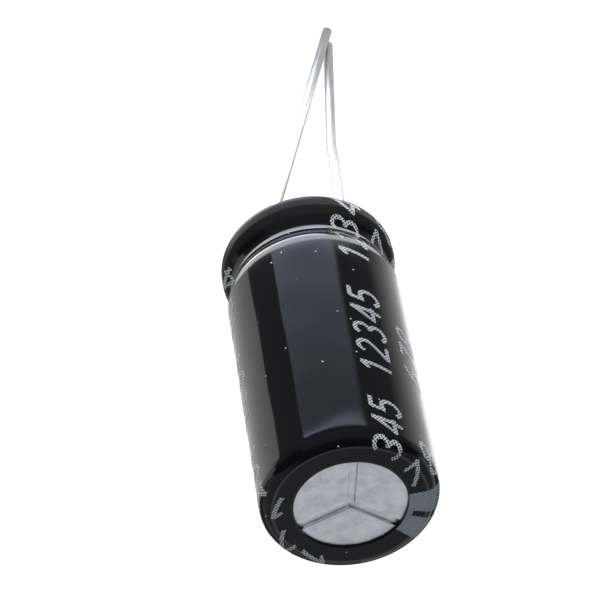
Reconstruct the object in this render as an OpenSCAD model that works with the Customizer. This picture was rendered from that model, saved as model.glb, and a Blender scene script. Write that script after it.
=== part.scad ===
// Radial aluminium electrolytic capacitor: a rolled foil element sealed in a drawn can
// that is closed by a crimped rubber bung, with two wire leads and a shrunk plastic sleeve.
// The origin is midway between the leads on the seating plane, where the sleeve's lead end
// would meet a circuit board. +Z runs through the can to the vented end, the leads run
// along -Z, and +X points from the positive lead to the negative lead. Sizes are in
// millimetres.

/* [Can] */
// Outside diameter of the can's straight side
can_d = 10; // [9:0.5:12.5]
// Thickness of the drawn sheet
can_wall = 0.3; // [0.2:0.05:0.4]
// Overall length over the sleeve, from the seating plane to the vented end
body_l = 21.9; // [19.5:0.4:25.9]
// Outside radius of the corner round the vented end
end_radius = 0.7; // [0.5:0.1:1.5]

/* [Crimped lead end] */
// Extra radius of the curled rim over the can's straight side
rim_swell = 0.08; // [0:0.02:0.14]
// Outside radius of the curl
curl_r = 0.75; // [0.65:0.05:0.85]
// Angle through which the edge is curled into the rubber, in degrees
curl_sweep = 150; // [130:5:155]
// Height of the rolled groove's floor above the seating plane
groove_z = 2.6; // [2.4:0.05:2.9]
// Depth of the rolled groove
groove_depth = 0.5; // [0.3:0.05:0.65]
// Width of the groove's long flank, on the can's side
can_flank_w = 1.6; // [1.2:0.1:2.2]
// Width of the groove's short flank, on the rim's side
rim_flank_w = 1.3; // [1:0.05:1.4]

/* [Vent score] */
// Width of each scored arm at the can's face
score_w = 0.5; // [0.3:0.05:0.7]
// Width of each scored arm at its floor
score_floor_w = 0.36; // [0.15:0.03:0.39]
// Depth of the score
score_depth = 0.15; // [0.08:0.01:0.18]
// Distance that the arms stop short of the rounded corner
score_margin = 0.1; // [0.05:0.05:0.5]

/* [Sleeve] */
// Wall of the shrunk plastic sleeve
sleeve_wall = 0.15; // [0.1:0.01:0.2]
// How far the sleeve laps over the vented end, measured in from the can's side
vent_lap = 1.75; // [1.6:0.05:2.2]
// How far the sleeve's lip runs in past the crest of the curl
lip_w = 0.25; // [0.15:0.05:0.35]

/* [Polarity stripe] */
// Angle that the printed stripe covers, in degrees
stripe_span = 48; // [36:2:60]
// Direction of the stripe's middle, from the negative lead, in degrees
stripe_turn = -23; // [-40:1:40]
// Angle round the curl at which the stripe starts, in degrees
stripe_from = -40; // [-45:5:0]
// How far the ink stays back from the edge of the sleeve's opening
ink_margin = 0.05; // [0.02:0.01:0.1]
// Thickness of the printed ink
ink_t = 0.02; // [0.01:0.01:0.04]
// Length of each minus dash
dash_l = 2.6; // [1.8:0.2:3]
// Width of each minus dash
dash_w = 0.55; // [0.4:0.05:0.8]
// How far the first dash runs in over the vented end
dash_reach = 1.4; // [0.8:0.1:1.5]
// Distance from one dash to the next
dash_step = 5.2; // [4.4:0.2:6]

/* [Rubber seal] */
// Depth of the rubber's outer face inside the seating plane
seal_inset = 0.25; // [0.2:0.01:0.25]
// How far the rubber runs past the groove into the can
seal_rise = 0.4; // [0.4:0.05:0.8]
// Chamfer round the rubber's inner edge
seal_chamfer = 0.25; // [0.1:0.05:0.35]

/* [Leads] */
// Distance between the leads at the board
lead_pitch = 5; // [4:0.25:5.5]
// Diameter of the tinned wire
wire_d = 0.6; // [0.5:0.05:0.8]
// Radius at the middle of the wire in each bend
bend_r = 1.6; // [1.2:0.1:2.4]
// Straight stretch of each lead below the seating plane
lead_straight = 1.1; // [0.8:0.1:1.5]
// Length of the positive lead past its bend
positive_l = 20.9; // [18:0.5:26]
// Lean of the positive lead, in degrees
positive_lean = 17.8; // [8:0.2:19]
// Sideways turn of the positive lead's lean, in degrees
positive_turn = 3.2; // [3:0.2:6]
// Length of the negative lead between its two bends
negative_l = 9.4; // [7:0.5:12]
// Lean of the negative lead after its first bend, in degrees
negative_lean = 2; // [1:0.5:4]
// Length of the negative lead past its second bend
negative_end_l = 10.3; // [8:0.5:13]
// Further lean of the negative lead at its second bend, in degrees
negative_kink = 3.8; // [2:0.2:6]
// Sideways turn of the negative lead's lean, in degrees
negative_turn = -15; // [-22:1:-13]
// Width of the chamfer round each cut end of wire
snip_w = 0.06; // [0.02:0.02:0.12]

/* [Terminal tabs] */
// Diameter of the round aluminium boss that the rubber grips
boss_d = 1.5; // [1.2:0.05:1.7]
// Height of the weld between boss and wire above the seating plane
weld_z = 1.3; // [1.1:0.05:1.6]
// How far the boss stands out of the rubber's inner face
boss_stand = 0.25; // [0.1:0.05:0.4]
// Height of the pressed neck between the boss and the flat blade
neck_l = 0.7; // [0.5:0.05:1]
// Width of the flat blade
blade_w = 2; // [1.6:0.1:2.6]
// Thickness of the flat blade
blade_t = 0.25; // [0.2:0.01:0.35]
// How far the blade reaches into the roll
blade_l = 11.5; // [8:0.5:12]

/* [Foil element] */
// Clearance between the roll and the can's inside
roll_clear = 0.28; // [0.22:0.02:0.4]
// Gap between the rubber's inner face and the roll
roll_lift = 1.2; // [1.1:0.05:1.6]
// Gap between the roll and the inside of the vented end
roll_headroom = 0.7; // [0.5:0.05:0.9]
// Diameter of the hole left by the winding pin
mandrel_d = 1.8; // [1.4:0.1:2.2]
// Step from turn to turn of the paper, drawn coarser than the real winding
turn_pitch = 0.42; // [0.36:0.02:0.6]
// Thickness of the paper's edge
paper_t = 0.2; // [0.14:0.01:0.26]
// How far the paper's edge stands past the foil at each end
paper_stand = 0.6; // [0.3:0.05:0.8]
// Thickness of the tape that holds the last turn
tape_t = 0.08; // [0.05:0.01:0.09]
// Width of the tape
tape_w = 8; // [4:0.5:11]
// Angle over which the tape laps itself, in degrees
tape_lap = 60; // [30:5:120]

/* [Fits] */
// Clearance where one piece is gripped by another
snug_gap = 0.01; // [0.01:0.005:0.02]

/* [Hidden] */
$fn = 72;

can_r = can_d / 2;
rim_r = can_r + rim_swell;
wire_r = wire_d / 2;
boss_r = boss_d / 2;
lead_x = lead_pitch / 2;

// The sleeve's skin and its clearance lie outside the can at both ends
skin_t = snug_gap + sleeve_wall;
can_top = body_l - skin_t;
curl_cr = rim_r - curl_r;
curl_cz = skin_t + curl_r;
inside_r = can_r - can_wall;

// The groove and the rubber's inner face
floor_r = can_r - groove_depth;
groove_top = groove_z + can_flank_w;
seal_top = groove_top + seal_rise;

// The foil element fills what the seal and the vented end leave
roll_r = inside_r - roll_clear;
roll_z = seal_top + roll_lift;
roll_top = can_top - can_wall - roll_headroom;
roll_l = roll_top - roll_z;
mandrel_r = mandrel_d / 2;
turns = floor((roll_r - mandrel_r - paper_t) / turn_pitch);

// Points on the outline follow a curve in this many steps
arc_steps = 14;
flank_steps = 10;
turn_sides = 24;
// A cutter passes this far beyond the face that it opens
over = 0.5;

// Points of an arc in the [radius, height] plane
function arc(cr, cz, r, a0, a1) =
    [for (i = [0:arc_steps]) let (a = a0 + (a1 - a0) * i / arc_steps) [cr + r * cos(a), cz + r * sin(a)]];

// A smooth rise from 0 to 1
function ease(t) = (1 - cos(180 * t)) / 2;

// The rolled groove, from the rim up to the can's straight side, moved out by d
function groove(d) = concat(
    [for (i = [0:flank_steps]) let (t = 1 - i / flank_steps)
        [floor_r + (rim_r - floor_r) * ease(t) + d, groove_z - rim_flank_w * t]],
    [for (i = [1:flank_steps]) let (t = i / flank_steps)
        [floor_r + (can_r - floor_r) * ease(t) + d, groove_z + can_flank_w * t]]);

// The can's side from the curl's angle to the middle of the end corner, moved out by d
function side(d, from_a) = concat(
    arc(curl_cr, curl_cz, curl_r + d, from_a, 0),
    groove(d),
    arc(can_r - end_radius, can_top - end_radius, end_radius + d, 0, 90));

function reversed(points) = [for (i = [len(points) - 1:-1:0]) points[i]];

// A ring of sheet that follows the can's side between two offsets and ends at radius end_r
module side_sheet(d_in, d_out, from_a, start_r, end_r) {
    outer = side(d_out, from_a);
    inner = side(d_in, from_a);
    polygon(concat(
        start_r > 0 ? [[start_r, curl_cz - curl_r - d_out]] : [],
        outer,
        [[end_r, can_top + d_out], [end_r, can_top + d_in]],
        reversed(inner),
        start_r > 0 ? [[start_r, curl_cz - curl_r - d_in]] : []));
}

// One arm of the score, cut along +X from the middle of the end
module score_arm() {
    rotate([90, 0, 90])
    linear_extrude(can_r - end_radius - score_margin)
    polygon([
        [-score_floor_w / 2, can_top - score_depth],
        [score_floor_w / 2, can_top - score_depth],
        [score_w / 2, can_top],
        [score_w / 2, can_top + over],
        [-score_w / 2, can_top + over],
        [-score_w / 2, can_top]]);
}

// Deep-drawn aluminium can: curled edge, rolled groove and a three-armed vent score
module can() {
    color([0.78, 0.79, 0.8])
    difference() {
        rotate_extrude()
        side_sheet(-can_wall, 0, -curl_sweep, 0, 0);
        for (a = [90, 210, 330]) rotate([0, 0, a]) score_arm();
    }
}

// Shrunk plastic sleeve, lapped over both ends
module sleeve() {
    color([0.06, 0.06, 0.08])
    rotate_extrude()
    side_sheet(snug_gap, skin_t, -90, curl_cr - lip_w, can_r - vent_lap);
}

// One minus dash left bare in the stripe, with its middle at height z
module dash(z) {
    translate([can_r - dash_reach, -dash_w / 2, z - dash_l / 2])
    cube([dash_reach + over, dash_w, dash_l]);
}

// Printed stripe that marks the negative lead, with a row of minus dashes left bare
module polarity_stripe() {
    d_in = skin_t + snug_gap;
    last = body_l - dash_l / 2 + over;
    count = floor((last - groove_top) / dash_step);
    color([0.55, 0.6, 0.66])
    rotate([0, 0, stripe_turn])
    difference() {
        rotate([0, 0, -stripe_span / 2])
        rotate_extrude(angle = stripe_span)
        side_sheet(d_in, d_in + ink_t, stripe_from, 0, can_r - vent_lap + ink_margin);
        for (i = [0:count]) dash(last - i * dash_step);
    }
}

// Rubber bung: waisted by the groove, gripped by the curl, bored for the two terminals
module rubber_seal() {
    hug_r = curl_r + snug_gap;
    heel_r = curl_r - can_wall - snug_gap;
    tip_a = curl_sweep + 180 * snug_gap / (PI * heel_r);
    face_a = 180 - asin((curl_cz - seal_inset) / hug_r);
    wall_r = inside_r - snug_gap;
    color([0.1, 0.1, 0.1])
    difference() {
        rotate_extrude()
        polygon(concat(
            [[0, seal_inset]],
            arc(curl_cr, curl_cz, hug_r, -face_a, -tip_a),
            arc(curl_cr, curl_cz, heel_r, -tip_a, 0),
            groove(-can_wall - snug_gap),
            [[wall_r, seal_top - seal_chamfer], [wall_r - seal_chamfer, seal_top], [0, seal_top]]));
        for (x = [-lead_x, lead_x]) translate([x, 0, 0]) terminal_bore();
    }
}

// Stepped hole: a round seat for the boss that narrows to the wire
module terminal_bore() {
    translate([0, 0, weld_z])
    cylinder(h = seal_top - weld_z + over, r = boss_r + snug_gap);
    translate([0, 0, seal_inset])
    cylinder(h = weld_z - seal_inset, r1 = wire_r + snug_gap, r2 = boss_r + snug_gap);
    cylinder(h = seal_inset + snug_gap, r = wire_r + snug_gap);
}

// The outline of the paper's spiral edge, seen along the winding
module spiral() {
    steps = turns * turn_sides;
    inner = [for (i = [0:steps]) let (r = mandrel_r + turn_pitch * i / turn_sides, a = 360 * i / turn_sides)
        [r * cos(a), r * sin(a)]];
    outer = [for (i = [0:steps]) let (r = mandrel_r + paper_t + turn_pitch * i / turn_sides, a = 360 * i / turn_sides)
        [r * cos(a), r * sin(a)]];
    polygon(concat(outer, reversed(inner)));
}

// Two foils and two papers wound together: one roll, with the paper standing proud
// in a spiral at each end, the pin's hole in the middle and a slot for each blade
module wound_element() {
    color([0.83, 0.76, 0.6])
    difference() {
        union() {
            translate([0, 0, roll_z + paper_stand])
            cylinder(h = roll_l - 2 * paper_stand, r = roll_r);
            translate([0, 0, roll_z])
            linear_extrude(roll_l)
            spiral();
        }
        translate([0, 0, roll_z - over])
        cylinder(h = roll_l + 2 * over, r = mandrel_r);
        for (x = [-lead_x, lead_x]) blade(x, snug_gap, roll_z - over);
    }
}

// A flat blade at x, widened all round by grow, from z_from to its tip in the roll
module blade(x, grow, z_from) {
    tip_z = roll_z + blade_l;
    translate([x - blade_t / 2 - grow, -blade_w / 2 - grow, z_from])
    cube([blade_t + 2 * grow, blade_w + 2 * grow, tip_z + grow - z_from]);
}

// Tape round the roll, with its end lapped over its start
module fixing_tape() {
    inner_r = roll_r + snug_gap;
    color([0.86, 0.84, 0.74])
    translate([0, 0, roll_z + (roll_l - tape_w) / 2]) {
        rotate_extrude()
        translate([inner_r, 0])
        square([tape_t, tape_w]);
        rotate_extrude(angle = tape_lap)
        translate([inner_r + tape_t, 0])
        square([tape_t, tape_w]);
    }
}

// Aluminium terminal: a round boss pressed out into a flat blade
module tab(x) {
    boss_top = seal_top + boss_stand;
    neck_top = boss_top + neck_l;
    color([0.8, 0.8, 0.82]) {
        translate([x, 0, weld_z])
        cylinder(h = boss_top - weld_z, r = boss_r);
        intersection() {
            translate([x, blade_w, 0])
            rotate([90, 0, 0])
            linear_extrude(2 * blade_w)
            polygon([[-boss_r, boss_top], [boss_r, boss_top], [blade_t / 2, neck_top], [-blade_t / 2, neck_top]]);
            translate([x - boss_d, 0, 0])
            rotate([90, 0, 90])
            linear_extrude(2 * boss_d)
            polygon([[-boss_r, boss_top], [boss_r, boss_top], [blade_w / 2, neck_top], [-blade_w / 2, neck_top]]);
        }
        blade(x, 0, neck_top);
    }
}

module anode_tab() {
    tab(-lead_x);
}

module cathode_tab() {
    tab(lead_x);
}

// The weld bead at the head of a lead and the straight wire below it
module lead_head() {
    translate([0, 0, seal_inset])
    cylinder(h = weld_z - seal_inset, r1 = wire_r, r2 = boss_r);
    translate([0, 0, -lead_straight])
    cylinder(h = lead_straight + seal_inset, r = wire_r);
}

// Wire that runs down from the origin, straight for l, with a snipped end if last is true
module run(l, last) {
    body = last ? l - snip_w : l;
    translate([0, 0, -body])
    cylinder(h = body, r = wire_r);
    if (last)
    translate([0, 0, -l])
    cylinder(h = snip_w, r1 = wire_r - snip_w, r2 = wire_r);
}

// A bend that turns the wire from -Z towards +X by angle a
module bend(a) {
    translate([bend_r, 0, 0])
    rotate([90, 0, 0])
    rotate([0, 0, 180])
    rotate_extrude(angle = a)
    translate([bend_r, 0])
    circle(r = wire_r);
}

// Carries what follows a bend of angle a to the bend's far end
module past_bend(a) {
    translate([bend_r * (1 - cos(a)), 0, -bend_r * sin(a)])
    rotate([0, -a, 0])
    children();
}

module positive_lead() {
    color([0.8, 0.81, 0.83])
    translate([-lead_x, 0, 0]) {
        lead_head();
        rotate([0, 0, positive_turn])
        translate([0, 0, -lead_straight]) {
            bend(positive_lean);
            past_bend(positive_lean) run(positive_l, true);
        }
    }
}

module negative_lead() {
    color([0.8, 0.81, 0.83])
    translate([lead_x, 0, 0]) {
        lead_head();
        rotate([0, 0, negative_turn])
        translate([0, 0, -lead_straight]) {
            bend(negative_lean);
            past_bend(negative_lean) {
                run(negative_l, false);
                translate([0, 0, -negative_l]) {
                    bend(negative_kink);
                    past_bend(negative_kink) run(negative_end_l, true);
                }
            }
        }
    }
}

can();
sleeve();
polarity_stripe();
rubber_seal();
wound_element();
fixing_tape();
anode_tab();
cathode_tab();
positive_lead();
negative_lead();
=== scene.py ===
# %% [markdown]
# # A capacitor in its shrunk sleeve
#
# The part is a radial electrolytic capacitor: a drawn aluminium can, closed by a crimped
# rubber bung, with two tinned wires and a black plastic sleeve shrunk over it. The packed
# model already holds every piece at its real size. This script gives those pieces their
# finish, and makes finer surfaces for the ones that the eye rests on: the sleeve with its
# print, the scored end of the can and the wires.

import bmesh
import bpy
import numpy as np
from mathutils import Matrix, Vector


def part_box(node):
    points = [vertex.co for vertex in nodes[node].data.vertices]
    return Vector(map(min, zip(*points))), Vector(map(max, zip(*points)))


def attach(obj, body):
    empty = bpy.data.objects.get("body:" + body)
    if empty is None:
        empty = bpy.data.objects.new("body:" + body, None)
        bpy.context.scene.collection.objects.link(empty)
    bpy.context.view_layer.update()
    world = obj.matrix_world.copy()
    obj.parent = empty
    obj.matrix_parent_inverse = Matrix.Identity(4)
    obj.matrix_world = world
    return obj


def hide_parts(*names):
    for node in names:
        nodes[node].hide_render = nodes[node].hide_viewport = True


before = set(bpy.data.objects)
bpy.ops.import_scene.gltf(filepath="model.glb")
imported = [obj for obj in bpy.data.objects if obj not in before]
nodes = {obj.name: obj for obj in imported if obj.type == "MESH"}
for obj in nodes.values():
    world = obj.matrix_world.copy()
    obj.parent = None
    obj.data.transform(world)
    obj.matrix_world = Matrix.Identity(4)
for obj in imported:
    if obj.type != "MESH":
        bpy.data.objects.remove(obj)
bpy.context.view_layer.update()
MM = 0.001
print("pieces in the model:", ", ".join(sorted(nodes)))

# %% [markdown]
# ## Sizes
#
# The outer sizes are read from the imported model, so the fine surfaces follow it. What a box
# can't tell, such as the groove's depth, is a named size in millimetres. Angles are in
# degrees. The axis of the can is Z, and angles round it are measured from the negative
# lead at +X towards +Y. The rim stands a little proud of the side. FLOOR_FLAT is a power:
# above 1 it makes the groove's floor flatter on the side of the vented end.

# %% Sizes in millimetres
_, can_hi = (np.array(corner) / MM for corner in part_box("can"))
sleeve_lo, sleeve_hi = (np.array(corner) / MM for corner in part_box("sleeve"))
BODY_L = sleeve_hi[2]
CAN_TOP = can_hi[2]
SKIN_T = BODY_L - CAN_TOP
RIM_R = can_hi[0]
RIM_PROUD = 0.08
CAN_R = RIM_R - RIM_PROUD
SNUG_GAP = 0.01
CAN_WALL = 0.3
END_RADIUS = 0.7
CURL_R = 0.75
CURL_SWEEP = 150
CURL_R_AT = RIM_R - CURL_R
CURL_Z_AT = SKIN_T + CURL_R
GROOVE_Z, GROOVE_DEPTH = 2.6, 0.5
CAN_FLANK, RIM_FLANK = 1.6, 1.3
FLOOR_FLAT = 1.2
END_LAP, RIM_LAP = 1.75, 0.25
OPENING_R = CAN_R - END_LAP
LIP_R = CURL_R_AT - RIM_LAP
print(f"sleeve {2 * sleeve_hi[0]:.2f} mm across and {BODY_L:.2f} mm long")
print(f"can {2 * RIM_R:.2f} mm across at the rim and {2 * CAN_R:.2f} mm on its side")

# %% [markdown]
# ## From a grid of points to a mesh
#
# Every fine surface here is a function of two parameters. Numpy works out the whole grid of
# points at once, and one helper turns it into faces. A grid can close on itself in either
# direction, as a ring does. Where a grid ends in a pole or meets the next one, the points
# coincide, and they are merged so that the shell has no slits.

# %% Helpers for grids and meshes
MERGE_DISTANCE = 1e-7


def grid_faces(rows, columns, close_rows=False, close_columns=False):
    """Quads of a grid whose point (i, j) has the index i * columns + j."""
    i = np.arange(rows if close_rows else rows - 1)
    j = np.arange(columns if close_columns else columns - 1)
    i, j = (a.ravel() for a in np.meshgrid(i, j, indexing="ij"))
    i2, j2 = (i + 1) % rows, (j + 1) % columns
    return np.stack([i * columns + j, i2 * columns + j, i2 * columns + j2, i * columns + j2], 1)


def shell(name, grids, uvs=None, smooth=True):
    """One piece from grids, each given as points in millimetres and quads.

    The signed volume of the shell is the sum over its faces of one sixth of the product
    of the corners. Where it is negative the faces look inwards, and all are turned round.
    """
    points, quads, start = [], [], 0
    for grid_points, grid_quads in grids:
        flat = grid_points.reshape(-1, 3)
        points.append(flat)
        quads.append(grid_quads + start)
        start += len(flat)
    points, quads = np.concatenate(points) * MM, np.concatenate(quads)
    a, b, c, d = (points[quads[:, k]] for k in range(4))
    volume = (np.cross(a, b) * c).sum() / 6 + (np.cross(a, c) * d).sum() / 6
    if volume < 0:
        quads = quads[:, ::-1]
    mesh = bpy.data.meshes.new(name)
    mesh.from_pydata(points.tolist(), [], quads.tolist())
    if uvs is not None:
        layer = mesh.uv_layers.new(name="UVMap")
        loops = np.zeros(len(mesh.loops), np.int32)
        mesh.loops.foreach_get("vertex_index", loops)
        layer.data.foreach_set("uv", np.concatenate(uvs)[loops].ravel())
    work = bmesh.new()
    work.from_mesh(mesh)
    bmesh.ops.remove_doubles(work, verts=work.verts, dist=MERGE_DISTANCE)
    bmesh.ops.dissolve_degenerate(work, edges=work.edges, dist=MERGE_DISTANCE)
    work.to_mesh(mesh)
    work.free()
    mesh.polygons.foreach_set("use_smooth", np.full(len(mesh.polygons), smooth))
    mesh.update()
    piece = bpy.data.objects.new(name, mesh)
    bpy.context.scene.collection.objects.link(piece)
    print(f"{name}: {len(mesh.polygons)} faces, {abs(volume) / MM**3:.2f} mm3")
    return piece


# %% [markdown]
# ## The meridian
#
# The sleeve and the can are both turned forms: one outline, carried round the axis. The
# outline climbs from the curl that grips the rubber, over the rolled groove and up the
# straight side, and rounds the corner to the vented end. The film lies on the metal, so the
# sleeve's outline is the can's, moved outwards. A Screw modifier could turn it too, but an
# array of finished points can still be moved by hand, as the next step does.

# %% The outline of the can and of the film on it
ARC_STEPS, FLANK_STEPS, SIDE_STEPS = 30, 26, 44


def arc(r_at, z_at, radius, start, stop, steps=ARC_STEPS):
    """Points of a circle in the (r, z) plane, from one angle to another."""
    a = np.radians(np.linspace(start, stop, steps + 1))
    return np.stack([r_at + radius * np.cos(a), z_at + radius * np.sin(a)], 1)


def ease(t):
    """A smooth rise from 0 to 1: half a period of a cosine."""
    return (1 - np.cos(np.pi * t)) / 2


def outline(offset, start):
    """The side of the can moved out by offset: curl, groove, straight side, corner."""
    floor_r = CAN_R - GROOVE_DEPTH
    down = np.linspace(1, 0, FLANK_STEPS + 1)
    up = np.linspace(0, 1, FLANK_STEPS + 1)[1:]
    rim_flank_r = floor_r + (RIM_R - floor_r) * ease(down) + offset
    can_flank_r = floor_r + (CAN_R - floor_r) * ease(up**FLOOR_FLAT) + offset
    in_groove = np.stack([rim_flank_r, GROOVE_Z - RIM_FLANK * down], 1)
    out_of_it = np.stack([can_flank_r, GROOVE_Z + CAN_FLANK * up], 1)
    corner = arc(CAN_R - END_RADIUS, CAN_TOP - END_RADIUS, END_RADIUS + offset, 0, 90)
    z = np.linspace(out_of_it[-1, 1], corner[0, 1], SIDE_STEPS + 1)[1:-1]
    side = np.stack([np.full_like(z, CAN_R + offset), z], 1)
    curl = arc(CURL_R_AT, CURL_Z_AT, CURL_R + offset, start, 0)
    return np.concatenate([curl, in_groove, out_of_it, side, corner])


def turned(profile, angles):
    """A profile carried round the Z axis: radius and height against angle."""
    r, z = profile[:, 0], profile[:, 1]
    a = np.asarray(angles)[:, None]
    return np.stack([r * np.cos(a), r * np.sin(a), np.broadcast_to(z, (len(a), len(z)))], 2)


# %% [markdown]
# ## How the film lies
#
# Heat draws the film tight, but never perfectly: it keeps long, shallow ripples that make
# straight reflections waver, and the edge of its opening wanders a little. A displacement
# of finished points does this, so the print can ride on the very same ripples, which a
# bump in the film's material wouldn't give.

# %% The shrunk film's ripples
RIPPLE, RIPPLE_FADE = 0.004, 2
EDGE_WANDER, WANDER_REACH, WANDER_FADE = 0.03, 0.7, 0.6


def settle(points):
    """Moves points in or out from the axis: slow waves on the side, a wander at the opening.

    The waves are a sum of sines of the angle and the height, and fade out over the groove
    and the corner. The wander is a sum of sines of the angle.
    """
    x, y, z = points[..., 0], points[..., 1], points[..., 2]
    angle, r = np.arctan2(y, x), np.hypot(x, y)
    waves = (
        np.sin(5 * angle + 0.9 * z) * np.sin(0.55 * z + 1.0)
        + 0.7 * np.sin(9 * angle - 0.7 * z + 2.0)
        + 0.5 * np.sin(3 * angle + 1.7 * z + 0.6)
    )
    above_groove = ease(np.clip((z - GROOVE_Z - CAN_FLANK) / RIPPLE_FADE, 0, 1))
    below_corner = ease(np.clip((CAN_TOP - END_RADIUS - z) / RIPPLE_FADE, 0, 1))
    wander = 0.6 * np.sin(2 * angle + 0.4) + 0.3 * np.sin(5 * angle + 2.0) + 0.1 * np.sin(11 * angle)
    near_edge = ease(np.clip((OPENING_R + WANDER_REACH - r) / WANDER_FADE, 0, 1))
    on_end = z > CAN_TOP - END_RADIUS
    move = RIPPLE * waves * (above_groove * below_corner)
    move = move + EDGE_WANDER * np.abs(wander) * (near_edge * on_end)
    out = np.array(points, float)
    out[..., 0] += move * np.cos(angle)
    out[..., 1] += move * np.sin(angle)
    return out


# %% [markdown]
# ## The sleeve
#
# On the real part the sleeve is a tube of thin film, cut longer than the can and shrunk, so
# that both ends fold over: round the corner of the vented end and under the curl. Both cut
# edges are soft. Solidify on a thin tube would leave them square, so the piece is one
# closed ring of film, whose section runs up the outside, rounds the lip, comes back down
# the inside and rounds the other lip. The inside takes every second point of its outline.

# %% Make the sleeve
SLEEVE_SIDES = 360
LIP_STEPS, LAP_STEPS = 8, 11
FILM_START = -90


def film_section():
    """The closed section of the film: outer outline, lip, inner outline backwards, lip."""
    half = (SKIN_T - SNUG_GAP) / 2
    outer, inner = outline(SKIN_T, FILM_START), outline(SNUG_GAP, FILM_START)[::-2]
    top_z = CAN_TOP + SNUG_GAP + half
    low_z = CURL_Z_AT - CURL_R - SNUG_GAP - half
    top_lip = arc(OPENING_R + half, top_z, half, 90, 270, LIP_STEPS)
    low_lip = arc(LIP_R + half, low_z, half, 90, 270, LIP_STEPS)
    lap = np.linspace(outer[-1, 0], OPENING_R + half, LAP_STEPS + 1)[1:-1]
    lap = np.stack([lap, np.full_like(lap, CAN_TOP + SKIN_T)], 1)
    return np.concatenate([outer, lap, top_lip, inner, low_lip])


section = film_section()
angles = np.linspace(0, 2 * np.pi, SLEEVE_SIDES, endpoint=False)
film = settle(turned(section, angles))
sleeve = shell("sleeve_film", [(film, grid_faces(*film.shape[:2], True, True))])
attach(sleeve, "root")
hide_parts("sleeve")

# %% [markdown]
# ## Printing on the film
#
# Ink is a skin a few hundredths of a millimetre thick at most. It could be painted by the
# film's material, but a digit is a shape, so it is modelled as one: a thin slab that bends
# with the film. Two coordinates place it, the angle round the can and the distance along
# the meridian, which carries the print over the groove and round the corner. The same two,
# in millimetres, are its UV map, so that the screen of the print follows the surface too.
# On the straight side, that distance is a height plus ON_SIDE_AT.

# %% Coordinates on the film
INK_FROM, INK_TO = 0.003, 0.012
MID_HEIGHT = 10
meridian = np.concatenate([outline(SKIN_T, FILM_START), [[OPENING_R, CAN_TOP + SKIN_T]]])
steps = np.diff(meridian, axis=0)
along = np.concatenate([[0], np.cumsum(np.hypot(steps[:, 0], steps[:, 1]))])
slope = np.gradient(meridian, along, axis=0)
slope /= np.linalg.norm(slope, axis=1)[:, None]
FILM_R = CAN_R + SKIN_T
MERIDIAN_L = along[-1]
ON_SIDE_AT = np.interp(MID_HEIGHT, meridian[:, 1], along) - MID_HEIGHT


def on_film(angle, distance, lift):
    """Points at an angle in radians and a distance along the meridian, lifted off the film."""
    angle, distance = np.broadcast_arrays(angle, distance)
    r = np.interp(distance, along, meridian[:, 0]) + lift * np.interp(distance, along, slope[:, 1])
    z = np.interp(distance, along, meridian[:, 1]) - lift * np.interp(distance, along, slope[:, 0])
    return settle(np.stack([r * np.cos(angle), r * np.sin(angle), z], -1))


def print_uv(angle, distance):
    """Arc length round the can against distance along it, in millimetres."""
    angle, distance = np.broadcast_arrays(angle, distance)
    return np.stack([angle * FILM_R, distance], -1).reshape(-1, 2)


print(f"the meridian of the film is {MERIDIAN_L:.1f} mm long")

# %% [markdown]
# ## The polarity stripe
#
# A pale stripe with minus dashes marks the negative lead's side. It is one field of ink with
# bare dashes. A Boolean could cut them out of a bent slab, but it often fails on such thin
# walls. So the field is a grid of cells, the cells of a dash are left out, and a wall
# closes the slab wherever an inked cell has no inked neighbour. It starts part of the way
# up the curl.

# %% Make the stripe
STRIPE_MIDDLE, STRIPE_SPAN = -23, 48
BARE_CURL = 50
STRIPE_START = np.radians(BARE_CURL) * (CURL_R + SKIN_T)
STRIPE_MARGIN = 0.06
DASHES, DASH_L, DASH_W, DASH_STEP = 4, 2.6, 0.55, 5.2
DASH_PAST_CORNER = 1.15
FIRST_DASH = ON_SIDE_AT + BODY_L - DASH_L / 2 + DASH_PAST_CORNER
STRIPE_CELLS = 0.2
# For each side of a cell: the step to its neighbour, and the cell's two corners there.
CELL_SIDES = (((-1, 0), 3, 0), ((1, 0), 1, 2), ((0, -1), 0, 1), ((0, 1), 2, 3))


def slab(name, angle, distance, inked):
    """A thin slab over the inked cells of a grid, closed by walls round every edge."""
    rows, columns = len(angle), len(distance)
    a, d = np.meshgrid(angle, distance, indexing="ij")
    top, low = on_film(a, d, INK_TO), on_film(a, d, INK_FROM)
    cells = grid_faces(rows, columns)
    mask = inked.ravel()
    below = rows * columns
    padded = np.pad(inked, 1)
    here, quads = padded[1:-1, 1:-1], [cells[mask], cells[mask][:, ::-1] + below]
    for shift, first, second in CELL_SIDES:
        other = np.roll(padded, (-shift[0], -shift[1]), (0, 1))[1:-1, 1:-1]
        edge = cells[(here & ~other).ravel()]
        p, q = edge[:, first], edge[:, second]
        quads.append(np.stack([q, p, p + below, q + below], 1))
    uv = print_uv(a, d)
    points = np.concatenate([top.reshape(-1, 3), low.reshape(-1, 3)])
    quads = np.concatenate(quads)
    used, quads = np.unique(quads, return_inverse=True)
    quads = quads.reshape(-1, 4)
    return shell(name, [(points[used], quads)], [np.concatenate([uv, uv])[used]], smooth=False)


def lines_through(start, stop, size, stops):
    """Grid lines from start to stop, about size apart, with a line at each of the stops."""
    ends = np.unique(np.concatenate([[start, stop], [s for s in stops if start < s < stop]]))
    counts = np.maximum(1, np.round(np.diff(ends) / size)).astype(int)
    runs = [np.linspace(a, b, n, endpoint=False) for a, b, n in zip(ends, ends[1:], counts)]
    return np.concatenate([*runs, [stop]])


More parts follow.
